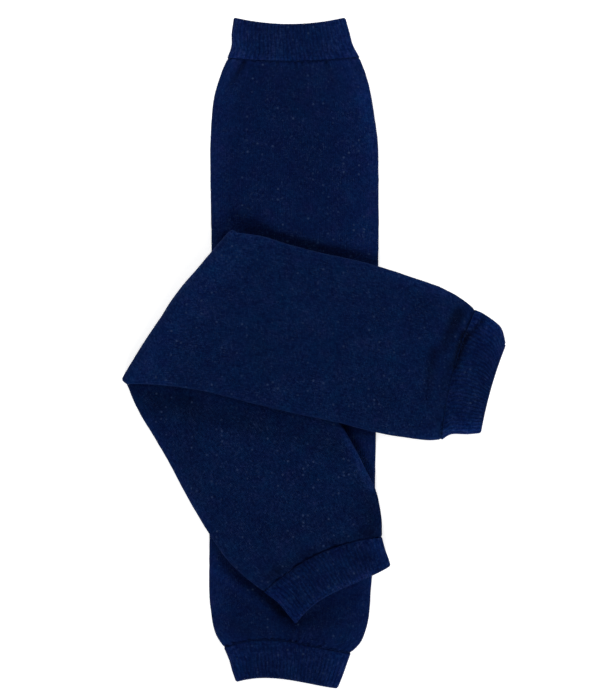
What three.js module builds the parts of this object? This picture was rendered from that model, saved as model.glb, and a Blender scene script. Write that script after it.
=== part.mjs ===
import * as THREE from 'three';

// A pair of knitted leg warmers laid flat: one leg lies straight, the other is folded over it on a slant.
// Millimetres. +Y runs up the straight leg, +X to its right, and +Z up from the surface they lie on.
// The origin is at the middle of the pair's plan box, on that surface.

// Cloth
const BODY_CLOTH = 1.3; // wall of the plain knit
const CUFF_CLOTH = 1.6; // wall of the doubled, ribbed cuff
const SLACK = 0.5; // air left between the front and the back of a flattened tube
const CLEARANCE = 0.3; // kept at seams and between layers that lie on each other
const BODY_HALF = BODY_CLOTH + SLACK / 2; // half the thickness of a flattened body
const CUFF_HALF = CUFF_CLOTH + SLACK / 2;

// Ribs of a cuff, raised on the side that faces up
const RIBS = 32;
const RIB_HEIGHT = 0.35;

// Draping: a layer stays level for a little way past the edge that carries it, then falls
const LEVEL_PAST_EDGE = 2;
const FALL_LENGTH = 13;
const UPPER_LEVEL_PAST_EDGE = 4;
const UPPER_FALL_LENGTH = 16;

// The slanted fold of the folded leg
const FOLD_STEPS = 8;
const FOLD_BULGE = 2.0; // how far the middle of the fold swells past its two ends

// Points round a ring: across the front or the back, and round each side edge
const STRAIGHT_ACROSS = 13;
const FOLDED_ACROSS = 13;
const CUFF_BACK_ACROSS = 7;
const CUFF_INSIDE_ACROSS = 17;
const SIDE_POINTS = 3;

// A mouth's lip is thinned on its upper side over a short way
const LIP_LENGTH = 0.8;
const LIP_DROP = 0.45;

// Each row is one section across a flattened tube, in order along the leg.
// ax, ay and bx, by: the tube's two side edges in plan
// puff: how far the upper side stands proud in the middle of the section
// bow: how far the middle of the section lies further along the leg than its two ends
// lean: moves that bow towards edge a (above 0) or edge b (below 0)
// steps: how many parts the stretch to the next row is made in
const COLUMNS = ['ax', 'ay', 'bx', 'by', 'puff', 'bow', 'lean', 'steps'];

const STRAIGHT_BOTTOM_CUFF = [
  [-35.5, -151.5, 11.0, -154.5, 0.0, 2.6, 0.7, 1],
  [-37.0, -147.0, 13.0, -149.5, 0.1, 2.4, 0.4, 1],
  [-38.5, -142.0, 15.0, -144.0, 0.3, 3.2, 0.6, 2],
  [-41.0, -136.0, 17.0, -138.5, 0.5, 4.2, 0.7, 1],
];
const STRAIGHT_BODY = [
  [-41.0, -136.0, 17.0, -138.5, 0.6, 4.2, 0.7, 2],
  [-45.0, -129.5, 22.5, -132.0, 0.9, 2.6, 0.4, 2],
  [-47.0, -121.0, 25.5, -121.5, 0.5, 0.5, 0.0, 1],
  [-48.0, -110.0, 26.5, -109.0, 0.2, 0.0, 0.0, 2],
  [-48.0, -88.5, 28.0, -88.5, 0.0, 0.0, 0.0, 2],
  [-47.5, -58.5, 28.5, -58.5, 0.0, 0.0, 0.0, 2],
  [-47.5, -22.0, 29.0, -22.0, 0.0, 0.0, 0.0, 2],
  [-47.0, 15.0, 29.5, 15.0, 0.0, 0.0, 0.0, 2],
  [-47.0, 47.0, 30.0, 47.0, 0.0, 0.0, 0.0, 2],
  [-47.5, 79.5, 30.0, 79.5, 0.2, 0.0, 0.0, 2],
  [-47.5, 98.0, 29.5, 98.0, 0.4, 0.0, 0.0, 2],
  [-46.0, 116.0, 27.0, 116.0, 0.7, -0.4, 0.0, 2],
  [-43.0, 127.0, 24.5, 127.0, 0.9, -1.0, 0.0, 2],
  [-39.5, 135.5, 21.0, 136.0, 0.6, -1.7, 0.0, 1],
];
const STRAIGHT_TOP_CUFF = [
  [-39.5, 135.5, 21.0, 136.0, 0.5, -1.7, 0.0, 2],
  [-37.5, 141.0, 18.0, 141.5, 0.3, -2.0, 0.0, 1],
  [-37.5, 147.0, 16.5, 147.0, 0.1, -2.4, 0.0, 1],
  [-36.5, 154.0, 14.5, 154.0, 0.0, -3.0, 0.0, 1],
];

// The folded leg starts at the cuff of its lower arm, runs up to the fold and back along its upper arm.
const LOWER_CUFF = [
  [-8.0, -124.5, 35.5, -98.0, 0.0, 2.9, 1.0, 1],
  [-12.0, -119.5, 34.5, -94.5, 0.1, 3.6, 0.8, 1],
  [-16.5, -114.5, 33.0, -90.5, 0.3, 4.5, 0.4, 2],
  [-22.5, -110.0, 31.5, -85.0, 0.5, 5.4, 0.0, 1],
];
const LOWER_ARM = [
  [-22.5, -110.0, 31.5, -85.0, 0.6, 5.4, 0.0, 2],
  [-30.5, -104.0, 31.5, -78.0, 0.9, 3.4, 0.0, 2],
  [-39.5, -95.5, 30.5, -70.5, 0.6, 1.4, 0.0, 2],
  [-48.5, -82.5, 28.5, -62.5, 0.3, 0.0, 0.0, 2],
  [-57.5, -67.5, 23.5, -52.5, 0.1, 0.0, 0.0, 3],
  [-65.5, -52.5, 17.0, -40.0, 0.0, 0.0, 0.0, 2],
  [-73.0, -39.5, 4.0, -16.5, 0.0, 0.0, 0.0, 3],
  [-80.5, -27.0, -14.0, 17.0, 0.0, 0.0, 0.0, 3],
  [-86.0, -14.5, -35.0, 55.0, 0.0, 0.0, 0.0, 1],
];
const UPPER_ARM = [
  [-86.0, -14.5, -35.0, 55.0, 0.0, 0.0, 0.0, 2],
  [-71.5, -15.0, -23.5, 53.5, 0.0, 0.0, 0.0, 3],
  [-52.0, -17.5, -10.5, 49.5, 0.0, 0.0, 0.0, 3],
  [-31.5, -22.5, 3.0, 46.0, 0.0, 0.0, 0.0, 3],
  [-11.0, -27.5, 17.0, 43.0, 0.1, 0.0, 0.0, 3],
  [10.0, -32.0, 30.5, 39.5, 0.2, 0.0, 0.0, 4],
  [29.5, -37.0, 44.5, 35.0, 0.4, -0.4, 0.0, 3],
  [44.5, -39.5, 57.5, 30.5, 0.7, -1.2, 0.0, 2],
  [53.0, -40.5, 68.0, 25.0, 0.9, -2.0, 0.0, 2],
  [59.0, -40.0, 74.5, 19.5, 0.6, -2.7, 0.0, 1],
];
const UPPER_CUFF = [
  [59.0, -40.0, 74.5, 19.5, 0.5, -2.7, 0.0, 1],
  [63.5, -37.5, 79.5, 17.0, 0.4, -2.4, 0.0, 2],
  [71.0, -37.5, 86.0, 11.5, 0.2, -1.8, 0.0, 2],
  [77.0, -37.0, 88.5, 3.5, 0.0, -1.1, 0.0, 1],
];

function named(table) {
  return table.map((row) => Object.fromEntries(COLUMNS.map((name, i) => [name, row[i]])));
}

// A value between rows, on a smooth curve through them. At a table's ends the curve runs straight on.
function between(rows, name, place) {
  const last = rows.length - 1;
  const i = Math.min(Math.floor(place), last - 1);
  const t = place - i;
  const p1 = rows[i][name];
  const p2 = rows[i + 1][name];
  const p0 = i > 0 ? rows[i - 1][name] : 2 * p1 - p2;
  const p3 = i + 2 <= last ? rows[i + 2][name] : 2 * p2 - p1;
  const slope = (p2 - p0) / 2;
  const turn = p0 - 2.5 * p1 + 2 * p2 - p3 / 2;
  const twist = (p3 - p0) / 2 + 1.5 * (p1 - p2);
  return p1 + t * (slope + t * (turn + t * twist));
}

function sectionsOf(table) {
  const rows = named(table);
  const sections = [];
  const take = (place) => {
    const s = {};
    for (const name of COLUMNS.slice(0, -1)) s[name] = between(rows, name, place);
    sections.push(s);
  };
  for (let i = 0; i < rows.length - 1; i++) {
    for (let k = 0; k < rows[i].steps; k++) take(i + k / rows[i].steps);
  }
  take(rows.length - 1);
  return sections;
}

// How high cloth is held, from 1 over what carries it to 0 where it has come down beside it
function falling(past, level, length) {
  return 1 - THREE.MathUtils.smoothstep(past, level, level + length);
}

const crown = (s) => 1 - s * s;

// The straight leg, read by height: its side edges and its upper surface
const STRAIGHT_SECTIONS = sectionsOf(STRAIGHT_BODY);

function straightAt(y) {
  const list = STRAIGHT_SECTIONS;
  let i = 0;
  while (i < list.length - 2 && (list[i + 1].ay + list[i + 1].by) / 2 < y) i++;
  const y0 = (list[i].ay + list[i].by) / 2;
  const y1 = (list[i + 1].ay + list[i + 1].by) / 2;
  const t = THREE.MathUtils.clamp((y - y0) / (y1 - y0), 0, 1);
  const mix = (name) => THREE.MathUtils.lerp(list[i][name], list[i + 1][name], t);
  return { left: mix('ax'), right: mix('bx'), puff: mix('puff') };
}

function overStraight(x, y, level, length) {
  const { left, right, puff } = straightAt(y);
  const past = Math.max(left - x, x - right, 0);
  const s = THREE.MathUtils.clamp((2 * x - left - right) / (right - left), -1, 1);
  const height = 2 * BODY_HALF + puff * crown(s) + CLEARANCE;
  return height * falling(past, level, length);
}

// What the lower arm lies on: the floor, and the straight leg
function underLower(x, y) {
  return overStraight(x, y, LEVEL_PAST_EDGE, FALL_LENGTH);
}

// What the upper arm lies on: those two, and the lower arm up to its right edge, which is straight there
const FOLD_ROW = named(UPPER_ARM)[0];
const EDGE_SHOWS_ROW = named(LOWER_ARM)[5];
const RIGHT_EDGE = new THREE.Vector2(EDGE_SHOWS_ROW.bx, EDGE_SHOWS_ROW.by);
RIGHT_EDGE.sub(new THREE.Vector2(FOLD_ROW.bx, FOLD_ROW.by)).normalize();

function underUpper(x, y) {
  const fromEdge = (y - FOLD_ROW.by) * RIGHT_EDGE.x - (x - FOLD_ROW.bx) * RIGHT_EDGE.y;
  const base = overStraight(x, y, UPPER_LEVEL_PAST_EDGE, UPPER_FALL_LENGTH);
  const layer = 2 * BODY_HALF + CLEARANCE;
  return base + layer * falling(fromEdge, LEVEL_PAST_EDGE, FALL_LENGTH);
}

const onFloor = () => 0;

// Across and along directions of a section, in plan. The upper arm is turned over: it runs the other way.
function directions(section, turned) {
  const across = new THREE.Vector2(section.bx - section.ax, section.by - section.ay);
  const half = across.length() / 2;
  across.normalize();
  const along = new THREE.Vector2(-across.y, across.x).multiplyScalar(turned ? -1 : 1);
  const middle = new THREE.Vector2((section.ax + section.bx) / 2, (section.ay + section.by) / 2);
  return { across, along, half, middle };
}

// Places a ring's points, given across the tube (x) and through it (h), for one section of an arm.
function armPlacer(section, half, under, turned) {
  const d = directions(section, turned);
  return (x, h) => {
    const s = THREE.MathUtils.clamp(x / d.half, -1, 1);
    const shift = section.bow * crown(s) * (1 - section.lean * s) + (section.offset ?? 0);
    const px = d.middle.x + d.across.x * x + d.along.x * shift;
    const py = d.middle.y + d.across.y * x + d.along.y * shift;
    return new THREE.Vector3(px, py, under(px, py) + half + (turned ? -h : h));
  };
}

// Places a ring's points round the fold, which turns by half a turn about the line of the fold's row.
function foldPlacer(section, half, angle) {
  const d = directions(section, false);
  return (x, h) => {
    const s = THREE.MathUtils.clamp(x / d.half, -1, 1);
    const px = d.middle.x + d.across.x * x;
    const py = d.middle.y + d.across.y * x;
    const low = underLower(px, py);
    const high = underUpper(px, py);
    const radius = (high - low) / 2 - h;
    const out = (radius + FOLD_BULGE * crown(s)) * Math.sin(angle);
    const z = (low + high) / 2 + half - radius * Math.cos(angle);
    return new THREE.Vector3(px + d.along.x * out, py + d.along.y * out, z);
  };
}

// The points of one ring in order: front from edge a to edge b, round edge b, back, round edge a.
// Each has a station from 0 to 4, by which an outer and an inner ring are joined at a mouth.
function ring(width, thick, front, back, sidePoints, frontHeight, backHeight) {
  const flat = width - thick;
  const points = [];
  for (let i = 0; i < front; i++) {
    const s = -1 + (2 * i) / (front - 1);
    points.push({ x: s * flat, h: thick + frontHeight(s, i), station: (s + 1) / 2 });
  }
  for (let i = 1; i <= sidePoints; i++) {
    const turn = (Math.PI * i) / (sidePoints + 1);
    const station = 1 + turn / Math.PI;
    points.push({ x: flat + thick * Math.sin(turn), h: thick * Math.cos(turn), station });
  }
  for (let i = 0; i < back; i++) {
    const s = 1 - (2 * i) / (back - 1);
    points.push({ x: s * flat, h: -thick - backHeight(s, i), station: 2 + (1 - s) / 2 });
  }
  for (let i = 1; i <= sidePoints; i++) {
    const turn = (Math.PI * i) / (sidePoints + 1);
    const station = 3 + turn / Math.PI;
    points.push({ x: -flat - thick * Math.sin(turn), h: -thick * Math.cos(turn), station });
  }
  return points;
}

// A tube's wall: outer rings, inner rings and a band that closes each end between the two.
function wall(slices) {
  const positions = [];
  const index = [];
  const rings = slices.map(({ outer, inner, place }) =>
    [outer, inner].map((points) =>
      points.map((p) => {
        positions.push(...place(p.x, p.h).toArray());
        return { id: positions.length / 3 - 1, station: p.station };
      }),
    ),
  );
  const skin = (which, flip) => {
    for (let i = 0; i < rings.length - 1; i++) {
      const here = rings[i][which];
      const next = rings[i + 1][which];
      for (let j = 0; j < here.length; j++) {
        const k = (j + 1) % here.length;
        const [a, b, c, d] = [here[j].id, here[k].id, next[j].id, next[k].id];
        if (flip) index.push(a, c, b, b, c, d);
        else index.push(a, b, c, b, d, c);
      }
    }
  };
  const band = ([outer, inner], flip) => {
    const after = (points, j) => (j < points.length ? points[j].station : 4 + points[0].station);
    let i = 0;
    let j = 0;
    while (i < outer.length || j < inner.length) {
      const a = outer[i % outer.length].id;
      const b = inner[j % inner.length].id;
      const innerDone = j >= inner.length;
      const outerNext = i < outer.length && (innerDone || after(outer, i + 1) <= after(inner, j + 1));
      const c = outerNext ? outer[(i + 1) % outer.length].id : inner[(j + 1) % inner.length].id;
      if (flip) index.push(a, b, c);
      else index.push(a, c, b);
      if (outerNext) i++;
      else j++;
    }
  };
  skin(0, false);
  skin(1, true);
  band(rings[0], true);
  band(rings[rings.length - 1], false);
  const geometry = new THREE.BufferGeometry();
  geometry.setAttribute('position', new THREE.Float32BufferAttribute(positions, 3));
  geometry.setIndex(index);
  geometry.computeVertexNormals();
  return geometry;
}

const none = () => 0;

// One slice of a plain body. It puffs on the side that faces up, which is the back in the upper arm.
function bodySlice(section, across, turned, place) {
  const { half: width } = directions(section, turned);
  const puff = (s) => section.puff * crown(s);
  const front = turned ? none : puff;
  const back = turned ? puff : none;
  return {
    outer: ring(width, BODY_HALF, across, across, SIDE_POINTS, front, back),
    inner: ring(width - BODY_CLOTH, SLACK / 2, across, across, 1, front, back),
    place,
  };
}

// One slice of a cuff. Its outer points on the side that faces up are raised in ribs over a plain inside.
function cuffSlice(section, turned, place) {
  const { half: width } = directions(section, turned);
  const puff = (s) => section.puff * crown(s);
  const rib = (s, i) => puff(s) + (i % 2 ? RIB_HEIGHT : 0) - section.lip;
  const ribPoints = 2 * RIBS + 1;
  const front = turned ? CUFF_BACK_ACROSS : ribPoints;
  const back = turned ? ribPoints : CUFF_BACK_ACROSS;
  const insideFront = turned ? CUFF_BACK_ACROSS : CUFF_INSIDE_ACROSS;
  const insideBack = turned ? CUFF_INSIDE_ACROSS : CUFF_BACK_ACROSS;
  const onUpper = (height) => (turned ? [none, height] : [height, none]);
  return {
    outer: ring(width, CUFF_HALF, front, back, SIDE_POINTS, ...onUpper(rib)),
    inner: ring(width - CUFF_CLOTH, SLACK / 2, insideFront, insideBack, 1, ...onUpper(puff)),
    place,
  };
}

// Half the seam's clearance is taken from the body and half from the cuff.
function openSeams(sections, atStart, atEnd) {
  if (atStart) sections[0].offset = CLEARANCE / 2;
  if (atEnd) sections[sections.length - 1].offset = -CLEARANCE / 2;
  return sections;
}

function straightBody() {
  const sections = openSeams(sectionsOf(STRAIGHT_BODY), true, true);
  return wall(
    sections.map((s) => bodySlice(s, STRAIGHT_ACROSS, false, armPlacer(s, BODY_HALF, onFloor, false))),
  );
}

function foldedBody() {
  const lower = openSeams(sectionsOf(LOWER_ARM), true, false);
  const upper = openSeams(sectionsOf(UPPER_ARM), false, true);
  const slices = [];
  for (const s of lower) {
    slices.push(bodySlice(s, FOLDED_ACROSS, false, armPlacer(s, BODY_HALF, underLower, false)));
  }
  for (let i = 1; i < FOLD_STEPS; i++) {
    const angle = (Math.PI * i) / FOLD_STEPS;
    slices.push(bodySlice(FOLD_ROW, FOLDED_ACROSS, false, foldPlacer(FOLD_ROW, BODY_HALF, angle)));
  }
  for (const s of upper) {
    slices.push(bodySlice(s, FOLDED_ACROSS, true, armPlacer(s, BODY_HALF, underUpper, true)));
  }
  return wall(slices);
}

// A cuff with its mouth at the first row (mouthFirst) or the last, and one more ring where its lip begins
function cuff(table, mouthFirst, under, turned) {
  const sections = openSeams(sectionsOf(table), !mouthFirst, mouthFirst);
  for (const s of sections) s.lip = 0;
  const mouth = mouthFirst ? sections[0] : sections[sections.length - 1];
  const lipStart = { ...mouth, offset: mouthFirst ? LIP_LENGTH : -LIP_LENGTH };
  mouth.lip = LIP_DROP;
  if (mouthFirst) sections.splice(1, 0, lipStart);
  else sections.splice(sections.length - 1, 0, lipStart);
  return wall(sections.map((s) => cuffSlice(s, turned, armPlacer(s, CUFF_HALF, under, turned))));
}

const NAVY_KNIT = { color: 0x0a173a, roughness: 0.95, metalness: 0 };
const NAVY_RIB = { color: 0x0b1a40, roughness: 0.95, metalness: 0 };

function piece(name, geometry, finish) {
  const mesh = new THREE.Mesh(geometry, new THREE.MeshStandardMaterial(finish));
  mesh.name = name;
  return mesh;
}

const pair = new THREE.Group();
pair.add(
  piece('straight_leg_tube', straightBody(), NAVY_KNIT),
  piece('straight_bottom_cuff', cuff(STRAIGHT_BOTTOM_CUFF, true, onFloor, false), NAVY_RIB),
  piece('straight_top_cuff', cuff(STRAIGHT_TOP_CUFF, false, onFloor, false), NAVY_RIB),
  piece('folded_leg_tube', foldedBody(), NAVY_KNIT),
  piece('folded_lower_cuff', cuff(LOWER_CUFF, true, underLower, false), NAVY_RIB),
  piece('folded_upper_cuff', cuff(UPPER_CUFF, false, underUpper, true), NAVY_RIB),
);

export default pair;
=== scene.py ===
"""Two knitted leg warmers laid flat, one straight and one folded over it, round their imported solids."""
import math

import bpy
import numpy as np
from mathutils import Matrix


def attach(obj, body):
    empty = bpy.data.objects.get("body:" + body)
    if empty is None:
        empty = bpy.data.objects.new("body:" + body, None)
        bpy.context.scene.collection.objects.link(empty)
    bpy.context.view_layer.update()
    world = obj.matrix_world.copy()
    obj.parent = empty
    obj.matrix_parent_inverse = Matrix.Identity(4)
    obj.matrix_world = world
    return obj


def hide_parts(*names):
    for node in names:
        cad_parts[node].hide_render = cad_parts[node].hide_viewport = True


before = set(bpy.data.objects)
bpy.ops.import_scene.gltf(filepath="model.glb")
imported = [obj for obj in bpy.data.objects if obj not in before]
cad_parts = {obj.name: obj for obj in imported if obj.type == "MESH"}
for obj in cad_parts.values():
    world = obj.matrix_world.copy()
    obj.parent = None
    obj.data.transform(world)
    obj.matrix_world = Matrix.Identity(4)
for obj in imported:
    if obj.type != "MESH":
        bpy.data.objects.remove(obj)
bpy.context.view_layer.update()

# Lengths are in millimetres, in the solids' own frame, and MM brings them to metres.
MM = 0.001

# Cloth
BODY_CLOTH = 1.3
CUFF_CLOTH = 1.6
SLACK = 0.5
CLEARANCE = 0.3
BODY_HALF = BODY_CLOTH + SLACK / 2
FAR = 1e6

# Knit
WALES = 164  # columns of stitches round a body
POINTS_PER_WALE = 4
WALE_DEPTH = 0.1
COURSE = 0.8  # height of a row of stitches
RIBS = 64  # round a cuff, half of them on the side that faces up
POINTS_PER_RIB = 8
RIB_HEIGHT = 0.35
LINING_POINTS = 8  # skin points for each one of the plain inside
REST_WIDTH = 38.5  # half the width of a body laid flat
CUFF_REST_WIDTH = 26

# Spacing of sections along a leg
BODY_STEP = 2.85
SEAM_STEP = 1.5  # beside a seam
SEAM_STRETCH = 16
STEP_CHANGE = 8  # over which the steps grow again
CUFF_STEP = 0.55
FOLD_STEPS = 14
ROUNDING = (78, 56, 34, 14)  # degrees round a rolled edge

# Draping, as in the solids
LEVEL_PAST_EDGE = 2
FALL_LENGTH = 13
UPPER_LEVEL_PAST_EDGE = 4
UPPER_FALL_LENGTH = 16
FOLD_BULGE = 2

# Each row is one section across a flattened tube, in order along the leg.
# ax, ay and bx, by are its two side edges in plan, puff is how far the upper side stands proud,
# bow is how far the middle lies further along the leg than the ends, and lean moves the bow sideways.
COLUMNS = ("ax", "ay", "bx", "by", "puff", "bow", "lean")

STRAIGHT_BOTTOM_CUFF = [
    (-35.5, -151.5, 11, -154.5, 0, 2.6, 0.7),
    (-37, -147, 13, -149.5, 0.1, 2.4, 0.4),
    (-38.5, -142, 15, -144, 0.3, 3.2, 0.6),
    (-41, -136, 17, -138.5, 0.5, 4.2, 0.7),
]
STRAIGHT_BODY = [
    (-41, -136, 17, -138.5, 0.6, 4.2, 0.7),
    (-45, -129.5, 22.5, -132, 0.9, 2.6, 0.4),
    (-47, -121, 25.5, -121.5, 0.5, 0.5, 0),
    (-48, -110, 26.5, -109, 0.2, 0, 0),
    (-48, -88.5, 28, -88.5, 0, 0, 0),
    (-47.5, -58.5, 28.5, -58.5, 0, 0, 0),
    (-47.5, -22, 29, -22, 0, 0, 0),
    (-47, 15, 29.5, 15, 0, 0, 0),
    (-47, 47, 30, 47, 0, 0, 0),
    (-47.5, 79.5, 30, 79.5, 0.2, 0, 0),
    (-47.5, 98, 29.5, 98, 0.4, 0, 0),
    (-46, 116, 27, 116, 0.7, -0.4, 0),
    (-43, 127, 24.5, 127, 0.9, -1, 0),
    (-39.5, 135.5, 21, 136, 0.6, -1.7, 0),
]
STRAIGHT_TOP_CUFF = [
    (-39.5, 135.5, 21, 136, 0.5, -1.7, 0),
    (-37.5, 141, 18, 141.5, 0.3, -2, 0),
    (-37.5, 147, 16.5, 147, 0.1, -2.4, 0),
    (-36.5, 154, 14.5, 154, 0, -3, 0),
]
LOWER_CUFF = [
    (-8, -124.5, 35.5, -98, 0, 2.9, 1),
    (-12, -119.5, 34.5, -94.5, 0.1, 3.6, 0.8),
    (-16.5, -114.5, 33, -90.5, 0.3, 4.5, 0.4),
    (-22.5, -110, 31.5, -85, 0.5, 5.4, 0),
]
LOWER_ARM = [
    (-22.5, -110, 31.5, -85, 0.6, 5.4, 0),
    (-30.5, -104, 31.5, -78, 0.9, 3.4, 0),
    (-39.5, -95.5, 30.5, -70.5, 0.6, 1.4, 0),
    (-48.5, -82.5, 28.5, -62.5, 0.3, 0, 0),
    (-57.5, -67.5, 23.5, -52.5, 0.1, 0, 0),
    (-65.5, -52.5, 17, -40, 0, 0, 0),
    (-73, -39.5, 4, -16.5, 0, 0, 0),
    (-80.5, -27, -14, 17, 0, 0, 0),
    (-86, -14.5, -35, 55, 0, 0, 0),
]
UPPER_ARM = [
    (-86, -14.5, -35, 55, 0, 0, 0),
    (-71.5, -15, -23.5, 53.5, 0, 0, 0),
    (-52, -17.5, -10.5, 49.5, 0, 0, 0),
    (-31.5, -22.5, 3, 46, 0, 0, 0),
    (-11, -27.5, 17, 43, 0.1, 0, 0),
    (10, -32, 30.5, 39.5, 0.2, 0, 0),
    (29.5, -37, 44.5, 35, 0.4, -0.4, 0),
    (44.5, -39.5, 57.5, 30.5, 0.7, -1.2, 0),
    (53, -40.5, 68, 25, 0.9, -2, 0),
    (59, -40, 74.5, 19.5, 0.6, -2.7, 0),
]
UPPER_CUFF = [
    (59, -40, 74.5, 19.5, 0.5, -2.7, 0),
    (63.5, -37.5, 79.5, 17, 0.4, -2.4, 0),
    (71, -37.5, 86, 11.5, 0.2, -1.8, 0),
    (77, -37, 88.5, 3.5, 0, -1.1, 0),
]

# Soft creases. A row is where one starts and ends in plan, its half width,
# and how far it rises (above 0) or sinks (below 0). It fades towards its end.
STRAIGHT_CREASES = [
    (-32, 135, -40, 121, 1.5, -0.8), (-34.8, 136, -43.8, 119, 1.6, 0.35),
    (-28.8, 134, -35, 121, 1.8, 0.25), (16, 134, 22.5, 122, 1.8, -0.5),
    (5.3, 134, 10.5, 122, 1.5, -0.45), (-8, 134, -9, 125, 1.6, -0.25),
    (-18, 134, -20, 124, 1.4, -0.3), (-33, -131, -39, -122, 1.7, -0.45),
    (-24, -132, -27, -125, 1.3, -0.25), (-12, -132, -13, -125, 1.3, -0.3),
    (12, -133.5, 17.5, -123, 1.8, -0.55), (2, -133, 4, -124, 1.4, -0.3),
    (-42, 86, -44, 40, 6, -0.45), (22, 108, 26, 70, 5, -0.4),
    (-44, -100, -10, -128, 6, -0.6), (2, -122, 20, -114, 6, -0.6),
    (-8, 118, -2, 84, 9, -0.45),
]
FOLDED_CREASES = [
    (67.8, 18.5, 60.8, 1, 2.3, -2.2), (72, 17, 67.2, 4.5, 1.5, 0.6),
    (70.8, 8, 67, -7, 1.7, -1.3), (62, 19.5, 56.5, 4.5, 2.2, 0.6),
    (56.4, 1.2, 52.7, -24.2, 2.3, -1.2), (61, -14, 58, -30, 2, -0.45),
    (58, -30, 49, -35.5, 1.8, -0.4), (50.5, 22, 44, 8, 3, -0.6),
    (22.5, -83, 17, -72, 2, -0.35), (10, -90, 5, -78, 2, -0.3),
    (-2, -97, -10, -86, 2.6, -0.45), (-15, -103, -23, -93, 1.8, -0.55),
    (28, -66, 27, -82, 4, -1.1), (-27, 8, -21, -9, 6, -0.35),
    (-55, 12, -30, 42, 4.5, -0.35),
]
# Painted light (above 0) and painted shade (below 0) on the cloth, in rows as for a crease: shadows cast
# beside the other leg, darker hollows and joins, paler lit rims, and a few tiny pale specks that are the
# yarn's own.
# The folded leg's body has one list for the cloth before its fold and one, _top, for the cloth after it.
PAINTED_LIGHT_SHADE_AND_SPECKS = {
    "straight_leg": [
        (-37.5, 116.6, -37.6, 116.2, 0.9, 0.9), (-38, 135.3, 20, 134.6, 1.3, 0.42),
        (-31.8, 134, -37.6, 124, 1.1, -0.38), (15, -138.5, -40, -134.5, 1.5, 0.3),
        (12.5, 141, 23.5, 119, 3.6, 0.45), (20.2, 131, 20.8, 127.5, 2.4, -0.35),
        (23.5, 117, 29, 80, 3.8, 0.42), (-46, -124, -23, -130, 4.5, -0.22),
        (-10, -124, -26, -112, 5, -0.3), (-2, -126, 22, -122, 5, -0.22),
        (29, 41.5, -30, 56, 2.8, -0.58), (-48, -99.5, -13, -123.5, 2, 0.55),
        (-14, -121.5, -22, -113, 2.2, -0.4), (27, -104, -6, -126.5, 3, 0.5),
    ],
    "folded_leg_top": [
        (-40, 51, -30, 50, 5.5, -0.22), (60.5, -38.9, 47, -40, 3.2, 0.6),
        (63, 27.5, 33, 38.5, 3.2, 0.5), (-25, 2, -22, -10, 5, -0.1),
        (32, -20, 30, -28, 6, -0.14), (67, 16.5, 62, 4, 3.4, -0.34),
        (57, -1, 53.5, -20, 3, -0.24), (-68.3, -13.6, -68.1, -13.5, 0.8, 0.9),
        (-54, -20.1, -53.8, -20, 0.8, 0.9), (71.3, 8, 67.4, -7.5, 1.7, -0.95),
        (52, 8, 49, -24, 12, 0.1), (64.5, -5, 62, -20, 1.6, -0.3),
    ],
    "folded_leg": [
        (-79, -32, -50, -80, 3.2, 0.85), (29, -84, 22, -62, 5, -0.24),
        (-19, -104.5, 2, -95.5, 3, -0.36), (26, -85, 2, -95.5, 3, -0.28),
        (14.5, -36.5, 26.5, -63, 1.5, 0.7), (-18, -87, 10, -82, 8, -0.12),
        (-53, -19.2, -78, -15.8, 1.8, 0.85), (-49, -19.7, 28, -38.2, 1.8, 0.85),
        (-72, -23, -25, -33, 6, -0.38), (10, -42.5, -30, -33.5, 5.5, -0.23),
        (-50, -95.5, -10, -122, 3.6, -0.22),
    ],
    "folded_lower_cuff": [
        (25.5, -95.5, 22, -97, 3.4, -0.3), (20, -97, -10, -113, 9, -0.09),
        (28, -101.5, -6, -122, 1.3, 0.6), (-19, -106.5, 4, -98, 2.4, -0.3),
    ],
    "folded_upper_cuff": [
        (76, -35.5, 61, -38, 3.4, 0.7), (86.5, 9, 76, 18, 3, 0.3),
        (87, 2, 77.5, -36, 2.6, 0.45), (78, 15, 73, 7, 1.6, -0.5),
        (71.6, 8, 67.8, -7.5, 1.6, -1),
    ],
    "straight_top_cuff": [(-38, 136, 20, 136, 1.6, 0.35)],
    "straight_bottom_cuff": [(-35, -141, 12, -146, 1.6, 0.12)],
}
CUFF_CREASES = {
    "folded_upper_cuff": [
        (78, 15, 72.5, 6.5, 1.5, -1.4), (71.6, 7.5, 68, -7, 1.6, -1.1),
        (81, 9, 77, -4, 2.2, 0.25),
    ],
    "folded_lower_cuff": [
        (-12, -113.5, -1, -116.5, 1.8, -0.35), (25, -89, 27.5, -97, 2.2, -0.4),
    ],
    "straight_top_cuff": [(-25, 141, -23.5, 150, 2.4, -0.25), (4, 140, 3, 150, 2.6, -0.25)],
    "straight_bottom_cuff": [(-22, -139, -21, -147, 2.6, -0.25), (4, -140, 2, -149, 2.4, -0.3)],
}


def widths(rows):
    return np.hypot(rows["bx"] - rows["ax"], rows["by"] - rows["ay"])


def middles(rows):
    return np.stack([rows["ax"] + rows["bx"], rows["ay"] + rows["by"]]) / 2


def unit(vectors):
    return vectors / np.maximum(np.linalg.norm(vectors, axis=-1, keepdims=True), 1e-9)


def summed(steps):
    """How far along each point is, from the steps between points."""
    return np.concatenate([[0], np.cumsum(steps)])


def across_two(values, axis):
    """The difference between the two neighbours of each point of a closed line."""
    return np.roll(values, -1, axis=axis) - np.roll(values, 1, axis=axis)


def added(name, data):
    """A new object in the scene."""
    thing = bpy.data.objects.new(name, data)
    bpy.context.scene.collection.objects.link(thing)
    return thing


def smooth_mesh(name, vertices, faces):
    mesh = bpy.data.meshes.new(name)
    mesh.from_pydata((vertices * MM).tolist(), [], faces)
    mesh.polygons.foreach_set("use_smooth", np.ones(len(faces), bool))
    return mesh


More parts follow.
